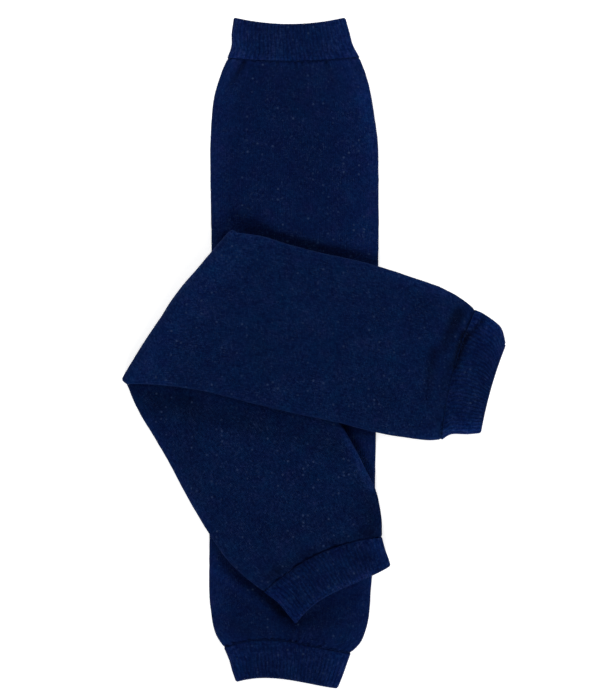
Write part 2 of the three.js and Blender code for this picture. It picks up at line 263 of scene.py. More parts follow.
def read(table, places):
    """A table's columns at places between its rows, on a smooth curve through them."""
    rows = np.array(table, float)
    last = len(rows) - 1
    rows = np.vstack([2 * rows[0] - rows[1], rows, 2 * rows[-1] - rows[-2]])
    i = np.minimum(np.floor(places).astype(int), last - 1)
    t = (places - i)[:, None]
    p0, p1, p2, p3 = rows[i], rows[i + 1], rows[i + 2], rows[i + 3]
    slope = (p2 - p0) / 2
    turn = p0 - 2.5 * p1 + 2 * p2 - p3 / 2
    twist = (p3 - p0) / 2 + 1.5 * (p1 - p2)
    values = p1 + t * (slope + t * (turn + t * twist))
    return {name: values[:, k] for k, name in enumerate(COLUMNS)}


def spaced_places(table, step, seam_ends):
    """Places in a table a step apart along the middle of the leg, and closer beside ends that are seams."""
    fine = np.linspace(0, len(table) - 1, 40 * (len(table) - 1) + 1)
    run = summed(np.hypot(*np.diff(middles(read(table, fine)))))
    to_seam = np.full(len(run), FAR)
    for is_seam, far in zip(seam_ends, (run, run[-1] - run)):
        to_seam = np.minimum(to_seam, far) if is_seam else to_seam
    steps = step + (SEAM_STEP - step) * (1 - smooth((to_seam - SEAM_STRETCH) / STEP_CHANGE))
    numbered = summed(np.diff(run) / steps[1:])
    count = max(3, round(numbered[-1]) + 1)
    return np.interp(np.linspace(0, numbered[-1], count), numbered, fine)


def smooth(t):
    t = np.clip(t, 0, 1)
    return t * t * (3 - 2 * t)


def slope_to(t, even):
    """Rises from 0 to 1 with an even slope over the first part, and levels off over the rest."""
    t = np.clip(t, 0, 1)
    past = np.clip((t - even) / (1 - even), 0, 1)
    rise = np.minimum(t, even) + (1 - even) * (past - past ** 3 + past ** 4 / 2)
    return rise / (even + (1 - even) / 2)


def crown(s):
    return 1 - s * s


def falling(past, level, length):
    return 1 - smooth((past - level) / length)


STRAIGHT_FINE = read(STRAIGHT_BODY, np.linspace(0, len(STRAIGHT_BODY) - 1, 200))
STRAIGHT_Y = middles(STRAIGHT_FINE)[1]


def over_straight(x, y, level, length):
    """How high cloth is held by the straight leg, over it and a little way past its edges."""
    left, right, puff = (np.interp(y, STRAIGHT_Y, STRAIGHT_FINE[c]) for c in ("ax", "bx", "puff"))
    past = np.maximum(np.maximum(left - x, x - right), 0)
    s = np.clip((2 * x - left - right) / (right - left), -1, 1)
    return (2 * BODY_HALF + puff * crown(s) + CLEARANCE) * falling(past, level, length)


def under_lower(x, y):
    return over_straight(x, y, LEVEL_PAST_EDGE, FALL_LENGTH)


FOLD_CORNER = np.array(UPPER_ARM[0][2:4])
RIGHT_EDGE = np.array(LOWER_ARM[5][2:4]) - FOLD_CORNER
RIGHT_EDGE = RIGHT_EDGE / np.hypot(*RIGHT_EDGE)


def under_upper(x, y):
    from_edge = (y - FOLD_CORNER[1]) * RIGHT_EDGE[0] - (x - FOLD_CORNER[0]) * RIGHT_EDGE[1]
    base = over_straight(x, y, UPPER_LEVEL_PAST_EDGE, UPPER_FALL_LENGTH)
    return base + (2 * BODY_HALF + CLEARANCE) * falling(from_edge, LEVEL_PAST_EDGE, FALL_LENGTH)


def floor_level(x, y):
    return np.zeros_like(x)


# Stacks of sections

def laid(rows, angle):
    """Adds how far each section moves along its leg, how full its wall is, and its turn round the fold."""
    count = len(rows["ax"])
    rows.update(offset=np.zeros(count), full=np.ones(count), angle=np.zeros(count) + angle)
    return rows


def stack(table, step, angle, seam_ends=(False, False)):
    return laid(read(table, spaced_places(table, step, seam_ends)), angle)


def fold_stack():
    angles = np.linspace(0, math.pi, FOLD_STEPS + 1)[1:-1]
    return laid({key: np.full(len(angles), value) for key, value in zip(COLUMNS, UPPER_ARM[0])}, angles)


def joined(*stacks):
    return {key: np.concatenate([s[key] for s in stacks]) for key in stacks[0]}


def rolled(rows, at_start, cloth):
    """Rounds one end of a wall: sections a short way in from the end, where the wall thins to its middle."""
    turns = np.radians(ROUNDING)
    inward = cloth / 2 * (1 - np.sin(turns))
    end = 0 if at_start else -1
    lip = {key: np.full(len(turns), values[end]) for key, values in rows.items()}
    lip["full"] = np.cos(turns)
    lip["offset"] = inward if at_start else -inward
    body = {key: values.copy() for key, values in rows.items()}
    body["offset"][end] = (1 if at_start else -1) * cloth / 2
    if at_start:
        return joined(lip, body)
    return joined(body, {key: values[::-1] for key, values in lip.items()})


def ring(points, width, thick):
    """Points evenly spaced round a flattened ring, from edge a over the front to edge b and back, as rows.
    side runs from -1 to 1 across the flat, and (out, up) is the way out of the ring at that point."""
    flat = width - thick
    face, arc = 2 * flat, math.pi * thick
    run = np.arange(points)[None, :] / points * 2 * (face + arc)
    turn_b = (run - face) / thick
    turn_a = (run - 2 * face - arc) / thick
    where = [run < face, run < face + arc, run < 2 * face + arc, run >= 2 * face + arc]
    one = np.ones((1, points))
    side = np.select(where, [run / flat - 1, one, 1 - (run - face - arc) / flat, -one])
    out = np.select(where, [0 * one, np.sin(turn_b), 0 * one, -np.sin(turn_a)])
    up = np.select(where, [one, np.cos(turn_b), -one, -np.cos(turn_a)])
    return side, out, up


def settle(rows, x, h, half, low_of, high_of, push=0):
    """Brings points, given across the tube (x) and through it (h), to where that section lies.
    push moves each further along the leg."""
    column = {key: values[:, None] for key, values in rows.items()}
    width = widths(column)
    across_x, across_y = (column["bx"] - column["ax"]) / width, (column["by"] - column["ay"]) / width
    along_x, along_y = -across_y, across_x
    s = np.clip(2 * x / width, -1, 1)
    onward = np.where(column["angle"] < math.pi / 2, 1, -1)
    shift = onward * (column["bow"] * crown(s) * (1 - column["lean"] * s) + column["offset"] + push)
    middle_x, middle_y = middles(column)
    px = middle_x + across_x * x + along_x * shift
    py = middle_y + across_y * x + along_y * shift
    low, high = low_of(px, py), high_of(px, py)
    radius = (high - low) / 2 - h
    out = (radius + FOLD_BULGE * crown(s)) * np.sin(column["angle"])
    z = (low + high) / 2 + half - radius * np.cos(column["angle"])
    return np.stack([px + along_x * out, py + along_y * out, z], axis=-1)


# Relief of a surface

# The shortest and longest wave of each uneven field, and how many it has
LUMPS = (16, 55, 14)
SMALL_LUMPS = (5, 11, 24)
EDGE_WAVES = (5, 19, 20)
RIB_WAVES = (9, 30, 14)


def waves(seed, shortest, longest, count):
    """A smooth uneven field over the plan, about -1 to 1, from a few crossing waves."""
    rng = np.random.default_rng(seed)
    lengths = rng.uniform(shortest, longest, count)
    ways = rng.uniform(0, math.pi, count)
    phases = rng.uniform(0, math.tau, count)

    def field(x, y):
        total = 0
        for length, way, phase in zip(lengths, ways, phases):
            total = total + np.sin((x * math.cos(way) + y * math.sin(way)) * math.tau / length + phase)
        return total / math.sqrt(count) / 1.6

    return field


def to_segment(x, y, x0, y0, x1, y1):
    """How far points of the plan lie from a short line, and which part of it, 0 to 1, is the nearest."""
    dx, dy = x1 - x0, y1 - y0
    t = np.clip(((x - x0) * dx + (y - y0) * dy) / max(dx * dx + dy * dy, 1e-9), 0, 1)
    return np.hypot(x - x0 - t * dx, y - y0 - t * dy), t


CREASE_FADE = 0.55  # the share of its height that a crease loses by its end


def creased(x, y, creases):
    """The height that a list of creases gives at each point of the plan."""
    total = np.zeros_like(x)
    for *ends, width, height in creases:
        far, t = to_segment(x, y, *ends)
        total += height * (1 - CREASE_FADE * t) * np.exp(-((far / width) ** 2))
    return total


def outline(*tables):
    """The corners of what a run of tables covers in plan."""
    rows = [row for table in tables for row in table]
    return [row[0:2] for row in rows] + [row[2:4] for row in reversed(rows)]


def clear_of(x, y, corners):
    """How far each point of the plan lies outside an outline, and 0 inside it."""
    far = np.full(x.shape, FAR)
    inside = np.zeros(x.shape, bool)
    for (x0, y0), (x1, y1) in zip(corners, corners[1:] + corners[:1]):
        far = np.minimum(far, to_segment(x, y, x0, y0, x1, y1)[0])
        crosses = (y0 > y) != (y1 > y)
        inside ^= crosses & (x < x0 + (y - y0) * (x1 - x0) / ((y1 - y0) or 1e-9))
    return np.where(inside, 0, far)


GATHERS = 9  # waves of between 14 and 46 puckers round the tube
GATHER_REACH = 6
GATHER_HEIGHT = 0.3
UNDULATION = 0.3
SWELL_FROM_SEAM = 18
SEAM_WIDTH = 1.8
EDGE_UNEVEN = 0.1
EDGE_ROLL = 0.52  # how far the bent cloth stands up along its side edges
ROLL_FROM_EDGE = 2.6
ROLL_WIDTH = 3.6
FOLD_ROLL = 1.6  # and along the fold
FOLD_ROLL_REACH = 13
RIB_SUNK = 1.3  # ribs' heights that a cuff's skin is cut back where it lies on something
PLAIN_RIB = 0.25  # the share of the rib left in a plain stretch
BODY_DEEPEST = 1.05  # of any hollow in the cloth
CUFF_DEEPEST = 1.3


def gathers(around, distance, seed):
    """Puckers beside a seam: uneven lumps round the tube that die out away from it."""
    rng = np.random.default_rng(seed)
    total = 0
    for _ in range(GATHERS):
        total = total + np.sin(math.tau * (around * rng.integers(14, 46) + rng.random()))
    return total / 3 * GATHER_HEIGHT * np.exp(-distance / GATHER_REACH)


def seam_dip(around, distance, depth, seed):
    """How far the cloth is drawn down beside a seam, deeper in some places than in others."""
    rng = np.random.default_rng(seed)
    uneven = 1 + sum(0.22 * np.sin(math.tau * (around * n + rng.random())) for n in (3, 5, 8, 13))
    return -depth * uneven * np.exp(-((distance / SEAM_WIDTH) ** 1.4))


def held_up(relief, deepest):
    """Keeps every hollow shallower than the cloth is thick, so the skin never meets the lining."""
    half = deepest / 2
    below = np.maximum(-half - relief, 0)
    return np.maximum(relief, -half) - half * np.tanh(below / half)


def run_along(rows):
    """The length of leg from the first section to each section."""
    return summed(np.hypot(*np.diff(middles(rows))) + np.abs(np.diff(rows["angle"])) * BODY_HALF)


def from_fold(rows):
    """How far each section lies from the fold along the leg, or very far where the leg has none."""
    run = run_along(rows)
    turned = np.flatnonzero(np.diff((rows["angle"] > math.pi / 2).astype(int)))
    if len(turned) == 0:
        return np.full(len(run), FAR)
    return np.abs(run - run[turned[0]])


class Skin:
    """The points of a piece's outer skin, with the way out of the cloth at each, in millimetres."""

    def __init__(self, points):
        self.points = points
        along = np.gradient(points, axis=0)
        across = across_two(points, 1) / 2
        self.out = unit(np.cross(across, along))
        self.along = unit(along)


def wall(name, outer, inner, painted_light, per_ring):
    """A closed wall between an outer and an inner grid of points, both open at the two ends of the leg.
    Its map holds the number of the stitch column and row, so the knit follows the cloth round the fold.
    The painted light and shade at each outer point, paler above 0 and darker below 0, go into the mesh."""
    sections, around = outer.shape[:2]
    inside = inner.shape[1]
    ratio = around // inside
    base = sections * around

    def quads(first, count, flip):
        i, j = np.meshgrid(np.arange(sections - 1), np.arange(count), indexing="ij")
        k = (j + 1) % count
        a, b = first + i * count + j, first + i * count + k
        c, d = first + (i + 1) * count + k, first + (i + 1) * count + j
        corners = (d, c, b, a) if flip else (a, b, c, d)
        return np.stack(corners, -1).reshape(-1, 4)

    def band(section, flip):
        faces = []
        outer_at = lambda j: section * around + j % around
        inner_at = lambda j: base + section * inside + j % inside
        for j in range(inside):
            for i in range(ratio):
                faces.append((outer_at(ratio * j + i + 1), outer_at(ratio * j + i), inner_at(j)))
            faces.append((outer_at(ratio * (j + 1)), inner_at(j), inner_at(j + 1)))
        return [face[::-1] for face in faces] if flip else faces

    skin = quads(0, around, False)
    lining = quads(base, inside, True)
    faces = skin.tolist() + lining.tolist() + band(0, False) + band(sections - 1, True)
    mesh = smooth_mesh(name, np.concatenate([outer.reshape(-1, 3), inner.reshape(-1, 3)]), faces)

    steps = np.linalg.norm(np.diff(outer, axis=0), axis=-1)
    run = np.concatenate([np.zeros((1, around)), np.cumsum(steps, axis=0)]) / COURSE
    u_outer = np.tile(np.arange(around) / around * per_ring, (sections, 1))
    u_inner = np.tile(np.arange(inside) / inside * per_ring, (sections, 1))
    u = np.concatenate([u_outer.ravel(), u_inner.ravel()])
    v = np.concatenate([run.ravel(), run[:, ::ratio][:, :inside].ravel()])
    corner = np.zeros(len(mesh.loops), int)
    mesh.loops.foreach_get("vertex_index", corner)
    map_u, map_v = u[corner], v[corner]
    wrapped = np.zeros(len(corner), bool)
    four = 4 * (len(skin) + len(lining))
    quad_u = map_u[:four].reshape(-1, 4)
    wrapped[:four] = ((quad_u.max(1, keepdims=True) - quad_u) > per_ring / 2).ravel()
    map_u[wrapped] += per_ring
    layer = mesh.uv_layers.new(name="knit")
    layer.data.foreach_set("uv", np.stack([map_u, map_v], -1).ravel().astype(np.float32))
    # Painted light and shade on the skin, and none on the lining.
    painted_light_and_shade = mesh.attributes.new("painted_light_and_shade", "FLOAT", "POINT")
    lining_painted_light = np.zeros(sections * inside)
    painted_light_and_shade.data.foreach_set("value", np.concatenate([painted_light.ravel(), lining_painted_light]).astype(np.float32))
    mesh.validate()
    return added(name, mesh)


def plan_points(rows, side, half_flat):
    """Where each ring point lies in plan, before any relief."""
    x = side * half_flat[:, None]
    ways = (rows["bx"] - rows["ax"], rows["by"] - rows["ay"])
    return [m[:, None] + x * (way / widths(rows))[:, None] for m, way in zip(middles(rows), ways)]


def tube_points(rows, cloth, rest_width, count, depth, under, relief=None, push=None):
    """Points round every section, depth out from the middle of the cloth, with relief on the outer side.
    At a rolled end both sides of the wall share the relief, so they still meet in its middle."""
    half = cloth + SLACK / 2
    side, out, up = ring(count, rest_width, half)
    half_flat = widths(rows) / 2 - half
    raised = up * np.cos(rows["angle"])[:, None]
    full = rows["full"][:, None]
    around = np.arange(count)[None, :] / count
    thick = SLACK / 2 + cloth / 2 + depth * full
    puff = rows["puff"][:, None] * crown(side) * np.clip(raised, 0, 1) * full
    extra = 0
    if relief:
        from_edge = half_flat[:, None] * (1 - np.abs(side))
        extra = relief(*plan_points(rows, side, half_flat), side, from_edge, raised, around)
        extra = extra * (1 + np.sign(depth) * full) / 2
    x = side * half_flat[:, None] + out * (thick + extra)
    h = up * (thick + extra + puff)
    shift = push(around) if push else 0
    return settle(rows, x, h, half, *under, shift)


def light_and_shade_paint(rows, cloth, rest_width, count, edges, creases, light_shade_and_specks):
    """How much painted light each skin point has: 1 the most, and below 0 painted shade, darker.
    It gets paler painted rims along its side edges, which have a strength and a reach each, and a paler
    painted band after its fold.
    Ridges get a little painted highlight and hollows painted shade.
    The last argument adds single spots of painted shadow and light, and a few tiny pale specks, in one list
    for the cloth before the fold and one for the cloth after it."""
    half = cloth + SLACK / 2
    side, _, _ = ring(count, rest_width, half)
    width = widths(rows)
    total = 0
    for way, (strength, reach) in zip((1, -1), edges):
        from_edge = (1 + way * side) / 2 * width[:, None]
        total = total + strength * np.exp(-((from_edge / reach) ** 1.5))
    by_fold = FOLD_PAINTED_LIGHT * np.exp(-((from_fold(rows) / FOLD_PAINTED_LIGHT_REACH) ** 2))
    total = total + np.where(rows["angle"] > 1, by_fold, 0)[:, None]
    place = plan_points(rows, side, width / 2 - half)
    before = (rows["angle"] < math.pi / 2)[:, None]
    spots = np.where(before, creased(*place, light_shade_and_specks[0]), creased(*place, light_shade_and_specks[1]))
    total = total + (PAINTED_LIGHT_PER_HEIGHT * np.clip(creased(*place, creases), *PAINTED_LIGHT_HEIGHTS) + spots)
    return np.clip(total, DARKEST_PAINTED_SHADE, 1)


def knit_tube(name, rows, kind, relief, under, edges, creases, light_shade_and_specks, push=None):
    """One knitted piece: its outer skin carries the relief, and its inside is plain.
    kind is its cloth's thickness, half its relaxed width, its skin points round, and its stitches round."""
    cloth, rest_width, points, per_ring = kind
    outer = tube_points(rows, cloth, rest_width, points, cloth / 2, under, relief, push)
    inner = tube_points(rows, cloth, rest_width, points // LINING_POINTS, -cloth / 2, under, relief)
    # Painted light and shade on the skin: paler rims, fold band and ridges, darker hollows, and spots of
    # painted shadow.
    painted_light = light_and_shade_paint(rows, cloth, rest_width, points, edges, creases, light_shade_and_specks)
    return wall(name, outer, inner, painted_light, per_ring), Skin(outer)


def body_relief(rows, seed, creases, swells, rolls, covers, seam_depths):
    """Wales all round. Where the cloth faces up it swells between what lies on it and its seams,
    stands up along its edges and its fold, and has soft lumps, creases, and puckers at its seams.
    swells has a height, a reach and an even share of it for the cloth before the fold, and a height for the
    cloth after it. rolls is how much of the roll each side edge before the fold has."""
    first_swell, reach, even, last_swell = swells
    lumps = waves(seed, *LUMPS)
    small = waves(seed + 1, *SMALL_LUMPS)
    edge = waves(seed + 5, *EDGE_WAVES)
    run = run_along(rows)
    to_start, to_end = run[:, None], (run[-1] - run)[:, None]
    to_seam = np.minimum(to_start, to_end)
    before = (rows["angle"] < math.pi / 2)[:, None]
    swell = np.where(before, first_swell, last_swell)
    fold_roll = np.where(before, 0, FOLD_ROLL) * np.exp(-((from_fold(rows)[:, None] / FOLD_ROLL_REACH) ** 2))

    def relief(px, py, side, from_edge, raised, around):
        wale = -WALE_DEPTH * (0.5 + 0.5 * np.cos(math.tau * WALES * around))
        up = np.clip(raised, 0, 1)
        soft = UNDULATION * (0.5 * lumps(px, py) - 0.5) + 0.05 * (small(px, py) - 1)
        soft = soft * (1 - np.exp(-to_seam / 10))
        clear = np.full(px.shape, FAR)
        for corners in covers:
            clear = np.where(before, np.minimum(clear, clear_of(px, py, corners)), clear)
        open_share = slope_to(clear / reach, even) * smooth(to_seam / SWELL_FROM_SEAM)
        roll = EDGE_ROLL * np.exp(-(((from_edge - ROLL_FROM_EDGE) / ROLL_WIDTH) ** 2))
        roll = roll * np.where(before, np.where(side < 0, *rolls), 1)
        swollen = swell * (1 - side ** 4) * open_share + fold_roll * (1 - side ** 2)
        swollen = swollen + roll * smooth(clear / 4) * smooth(to_seam / 6)
        folds = creased(px, py, creases)
        pucker = gathers(around, to_seam, seed + 2)
        dip = seam_dip(around, to_start, seam_depths[0], seed + 3)
        dip = dip + seam_dip(around, to_end, seam_depths[1], seed + 4)
        sides = EDGE_UNEVEN * (edge(px, py) - 1) * (1 - np.abs(raised))
        return held_up(wale + up * (soft + swollen + folds + pucker + dip) + sides, BODY_DEEPEST)

    return relief


def cuff_relief(rows, seed, creases, seam_depth, mouth_first, plain):
    """Ribs all round. They stand out where the cuff faces up, and are cut in where it lies on something.
    Beside the seam a plain stretch of the given length has hardly any rib."""
    uneven = waves(seed, *RIB_WAVES)
    run = run_along(rows)
    to_seam = ((run[-1] - run) if mouth_first else run)[:, None]
    ribbed = 1 - (1 - PLAIN_RIB) * (1 - smooth((to_seam - plain + 1) / 2)) * (plain > 0)

    def relief(px, py, side, from_edge, raised, around):
        wave = 0.5 - 0.5 * np.cos(math.tau * RIBS * around)
        rib = np.sqrt(wave) * (1 + 0.3 * uneven(px, py)) * ribbed + 0.8 * (1 - ribbed)
        down = (1 - np.clip(raised, -1, 1)) / 2
        up = np.clip(raised, 0, 1)
        dip = seam_dip(around, to_seam, seam_depth, seed + 3)
        soft = 0.15 * (uneven(px, py) - 1) + creased(px, py, creases) + dip
        return held_up(RIB_HEIGHT * (rib - down * RIB_SUNK) + soft * up, CUFF_DEEPEST)

    return relief


MOUTH_SCALLOP = 0.22
SCALLOP_REACH = 1.2


def scallops(rows, mouth_first):
    """Each rib reaches a little past the grooves beside it at the mouth of a cuff."""
    run = run_along(rows)
    to_mouth = (run if mouth_first else run[-1] - run)[:, None]
    way = 1 if mouth_first else -1

    def push(around):
        groove = 0.5 + 0.5 * np.cos(math.tau * RIBS * around)
        return way * MOUTH_SCALLOP * groove * np.exp(-to_mouth / SCALLOP_REACH)

    return push


# Small things that repeat on the cloth, each kind one joined mesh

LOWEST = 0.02  # they stay clear of what the cloth lies on


def joined_mesh(name, vertices, faces):
    """Many copies of one small closed shape: vertices is copies by points by 3, in millimetres."""
    copies, points = vertices.shape[:2]
    vertices = vertices.copy()
    vertices[..., 2] = np.maximum(vertices[..., 2], LOWEST)
    polygons = []
    for face in faces:
        polygons += (np.arange(copies)[:, None] * points + np.array(face)).tolist()
    return added(name, smooth_mesh(name, vertices.reshape(-1, 3), polygons))


def strand_faces(steps, sides):
    """The faces of a closed strand: a ring of sides at each step, and a point at its two ends."""
    faces = loop_faces(steps, sides, steps - 1)
    first, last = steps * sides, steps * sides + 1
    for j in range(sides):
        k = (j + 1) % sides
        faces.append((first, k, j))
        faces.append((last, (steps - 1) * sides + j, (steps - 1) * sides + k))
    return faces


def loop_faces(steps, sides, spans):
    """The faces between the rings of a tube. With as many spans as steps, it closes on itself."""
    faces = []
    for i in range(spans):
        for j in range(sides):
            k, m = (i + 1) % steps, (j + 1) % sides
            faces.append(tuple(a * sides + b for a, b in ((i, j), (i, m), (k, m), (k, j))))
    return faces


def rings_round(path, thick, sides, across, out):
    """A ring of points round each point of a path, in the plane of two given directions."""
    turns = np.arange(sides) / sides * math.tau
    ring_of = np.cos(turns)[:, None] * across[..., None, :] + np.sin(turns)[:, None] * out[..., None, :]
    return path[..., None, :] + ring_of * thick


def strand_points(paths, radii, sides, across, out):
    """Vertices of closed strands along paths (strands by steps by 3), about two given cross directions."""
    body = rings_round(paths[:, 1:-1], radii[:, None, None, None], sides, across[:, None], out[:, None])
    return np.concatenate([body.reshape(len(paths), -1, 3), paths[:, [0, -1]]], axis=1)


def scattered(skin, count, rng, lowest_up, margin):
    """Random places on a skin: the point, the way out, and the way along the leg.
    They keep a margin of sections from the skin's ends, and out points up by lowest_up or more."""
    sections, around = skin.points.shape[:2]
    tries = 4 * count
    i = rng.integers(margin, sections - margin, tries)
    j = rng.integers(0, around, tries)
    keep = np.flatnonzero(skin.out[i, j, 2] > lowest_up)[:count]
    i, j = i[keep], j[keep]
    return skin.points[i, j], skin.out[i, j], skin.along[i, j]


def turned(out, along, angle):
    """The way along the cloth, turned about the way out of it."""
    return np.cos(angle) * along + np.sin(angle) * np.cross(out, along)


NAP_THICK = 0.022
NAP_SIDES = 3
NAP_LENGTH = (0.35, 1.05)


def nap(name, skin, count, seed):
    """Fine curved fibres that stand out of the cloth, sparse and of uneven length."""
    rng = np.random.default_rng(seed)
    at, out, along = scattered(skin, count, rng, lowest_up=-0.25, margin=2)
    count = len(at)
    lean = turned(out, along, rng.uniform(0, math.tau, count)[:, None])
    length = rng.uniform(*NAP_LENGTH, count)[:, None] * rng.uniform(0.6, 1, count)[:, None]
    curl = rng.uniform(0.3, 1.2, count)[:, None]
    steps = []
    for t in (-0.15, 0, 0.5, 1):
        steps.append(at + out * length * (t - 0.35 * curl * t * t) + lean * length * curl * t * abs(t))
    paths = np.stack(steps, axis=1)
    across = np.cross(out, lean)
    vertices = strand_points(paths, np.full(count, NAP_THICK), NAP_SIDES, across, np.cross(out, across))
    return joined_mesh(name, vertices, strand_faces(2, NAP_SIDES))


LINT_THICK = 0.07
LINT_SIDES = 4
LINT_LENGTH = (0.7, 2.6)


def lint(skin, count, rng):
    """Short paler fibres that lie on the cloth."""
    at, out, along = scattered(skin, count, rng, lowest_up=0.3, margin=6)
    count = len(at)
    turn = rng.choice([0, math.pi / 2], count)[:, None] + rng.normal(0, 0.35, count)[:, None]
    way = turned(out, along, turn)
    bend = np.cross(out, way) * rng.normal(0, 0.35, count)[:, None]
    length = rng.uniform(*LINT_LENGTH, count)[:, None] * rng.uniform(0.4, 1, count)[:, None]
    steps = []
    for t in (-0.5, -0.42, -0.15, 0.15, 0.42, 0.5):
        lift = 0.02 - 0.35 * abs(t) ** 3
        steps.append(at + way * length * t + bend * length * t * t * 2 + out * lift)
    thick = rng.uniform(0.5, 1, count) * LINT_THICK
    paths = np.stack(steps, axis=1)
    return strand_points(paths, thick, LINT_SIDES, np.cross(out, way), out), strand_faces(4, LINT_SIDES)


def ball():
    """A round shape of 32 faces, an octahedron split once: its points, one unit out, and its faces."""
    points = [way * axis for axis in np.eye(3) for way in (1, -1)]
    middle_of, faces = {}, []

    def middle(a, b):
        key = (min(a, b), max(a, b))
        if key not in middle_of:
            points.append(unit(points[a] + points[b]))
            middle_of[key] = len(points) - 1
        return middle_of[key]

    for a, b, c in ((0, 2, 4), (2, 1, 4), (1, 3, 4), (3, 0, 4), (2, 0, 5), (1, 2, 5), (3, 1, 5), (0, 3, 5)):
        ab, bc, ca = middle(a, b), middle(b, c), middle(c, a)
        faces += [(a, ab, ca), (ab, b, bc), (ca, bc, c), (ab, bc, ca)]
    return np.array(points), faces


PILL_SIZE = (0.1, 0.24)
PILL_FLATNESS = 0.6
PILL_UNEVEN = 0.16


def pills(at, out, along, sizes, rng):
    """Small balls of matted fibre, a little flattened and half sunk in the cloth."""
    shape, faces = ball()
    count = len(at)
    aside = np.cross(out, along)
    frames = np.stack([along, aside, PILL_FLATNESS * out], axis=1) * sizes[:, None, None]
    lumpy = shape[None] * (1 + rng.normal(0, PILL_UNEVEN, (count, len(shape), 1)))
    return at[:, None, :] + np.einsum("cpk,ckd->cpd", lumpy, frames), faces


# Seams: a chain of loops round each join

CHAIN_PITCH = 2.3
LOOP_LENGTH = 2.9
LOOP_WIDTH = 1
LOOP_THICK = 0.2
LOOP_STEPS = 12
LOOP_SIDES = 5
LOOP_LIFT = 0.16  # of its front end, where it lies over the loop before
LOOP_PINCH = 0.45
CHAIN_POINTS = 720
CHAIN_SUNK = 0.65
CORE_THICK = 0.34
CORE_POINTS = 240
CORE_SIDES = 6


def closed_loops(name, paths, thick, sides, beside, over):
    """Round threads along closed paths (threads by steps by 3), about two given cross directions."""
    threads, steps = paths.shape[:2]
    points = rings_round(paths, thick, sides, beside, over)
    faces = [(a, d, c, b) for a, b, c, d in loop_faces(steps, sides, steps)]
    return joined_mesh(name, points.reshape(threads, -1, 3), faces)


def seam_line(row, angle, under, count, sunk):
    """Points round the join of a body and its cuff, sunk below the skin of the cloth."""
    rows = laid({key: np.array([value]) for key, value in zip(COLUMNS, row)}, angle)
    return tube_points(rows, BODY_CLOTH, CUFF_REST_WIDTH, count, BODY_CLOTH / 2 - sunk, under)[0]


def seam_chain(name, row, angle, under, sunk):
    """Loops that run into each other round the join, over one thread that closes its gap."""
    line = lambda depth: seam_line(row, angle, under, CHAIN_POINTS, depth)
    _, _, up = ring(CHAIN_POINTS, CUFF_REST_WIDTH, BODY_HALF)
    shown = np.clip(up * math.cos(angle), 0, 1).T ** 2
    deep = line(max(sunk, CHAIN_SUNK))
    fine = deep + (line(sunk) - deep) * shown
    above = fine + line(0) - line(0.5)
    run = summed(np.linalg.norm(np.roll(fine, -1, axis=0) - fine, axis=1))
    count = round(run[-1] / CHAIN_PITCH)
    places = (np.arange(count) + 0.5) / count * run[-1]

    def at(values, where):
        closed = np.vstack([values, values[:1]])
        return np.stack([np.interp(where % run[-1], run, closed[:, k]) for k in range(3)], axis=-1)

    middle = at(fine, places)
    tangent = unit(at(fine, places + 0.6) - at(fine, places - 0.6))
    out = unit(at(above, places) - middle)
    turns = np.arange(LOOP_STEPS) / LOOP_STEPS * math.tau
    pinch = 1 - LOOP_PINCH * np.cos(turns)
    path = (
        tangent[:, None] * (LOOP_LENGTH / 2 * np.cos(turns))[:, None]
        + np.cross(tangent, out)[:, None] * (LOOP_WIDTH / 2 * np.sin(turns) * pinch)[:, None]
        + out[:, None] * (LOOP_LIFT * np.cos(turns))[:, None]
    )
    path = middle[:, None] + path
    forward = unit(across_two(path, 1))
    beside = unit(np.cross(forward, out[:, None]))
    return closed_loops(name, path, LOOP_THICK, LOOP_SIDES, beside, np.cross(beside, forward))


def seam_thread(name, row, angle, under, sunk):
    """One closed thread down in the join, so nothing shows between a body and its cuff."""
    line = seam_line(row, angle, under, CORE_POINTS, sunk)
    out = unit(seam_line(row, angle, under, CORE_POINTS, sunk - 0.5) - line)
    forward = unit(across_two(line, 0))
    return closed_loops(name, line[None], CORE_THICK, CORE_SIDES, np.cross(forward, out)[None], out[None])


# Materials

class Nodes:
    """A material's nodes, made and linked in one call each.
    An input is named by its socket, or by an underscore and its number."""

    def __init__(self, name):
        self.material = bpy.data.materials.new(name)
        self.material.use_nodes = True
        self.tree = self.material.node_tree
        self.tree.nodes.clear()

    def add(self, kind, settings=(), **inputs):
        node = self.tree.nodes.new(kind)
        for key, value in dict(settings).items():
            setattr(node, key, value)
        for key, value in inputs.items():
            self.feed(node, key, value)
        return node

    def feed(self, node, key, value):
        socket = node.inputs[int(key[1:])] if key[0] == "_" else node.inputs[key.replace("_", " ")]
        if isinstance(value, bpy.types.NodeSocket):
            self.tree.links.new(value, socket)
        else:
            socket.default_value = value

    def math(self, operation, a, b=0):
        return self.add("ShaderNodeMath", {"operation": operation}, _0=a, _1=b).outputs[0]

    def times(self, a, b):
        return self.math("MULTIPLY", a, b)

    def plus(self, a, b):
        return self.math("ADD", a, b)

    def apart(self, a, b):
        return self.math("ABSOLUTE", self.math("SUBTRACT", a, b))

    def noise(self, vector, scale, detail=2, roughness=0.5):
        inputs = {"Vector": vector, "Scale": scale, "Detail": detail, "Roughness": roughness}
        return self.add("ShaderNodeTexNoise", **inputs).outputs["Fac"]

    def spread(self, value, low, high, start=0, end=1):
        node = self.add("ShaderNodeMapRange", {"clamp": True}, _0=value, _1=low, _2=high, _3=start, _4=end)
        return node.outputs[0]

    def stretched(self, vector, by):
        return self.add("ShaderNodeVectorMath", {"operation": "MULTIPLY"}, _0=vector, _1=by).outputs[0]

    def mix(self, factor, a, b):
        return self.add("ShaderNodeMix", {"data_type": "RGBA"}, _0=factor, _6=a, _7=b).outputs[2]

    def scaled(self, colour, by):
        return self.add("ShaderNodeVectorMath", {"operation": "SCALE"}, _0=colour, Scale=by).outputs[0]

    def finish(self, shader):
        self.add("ShaderNodeOutputMaterial", Surface=shader.outputs[0])
        return self.material


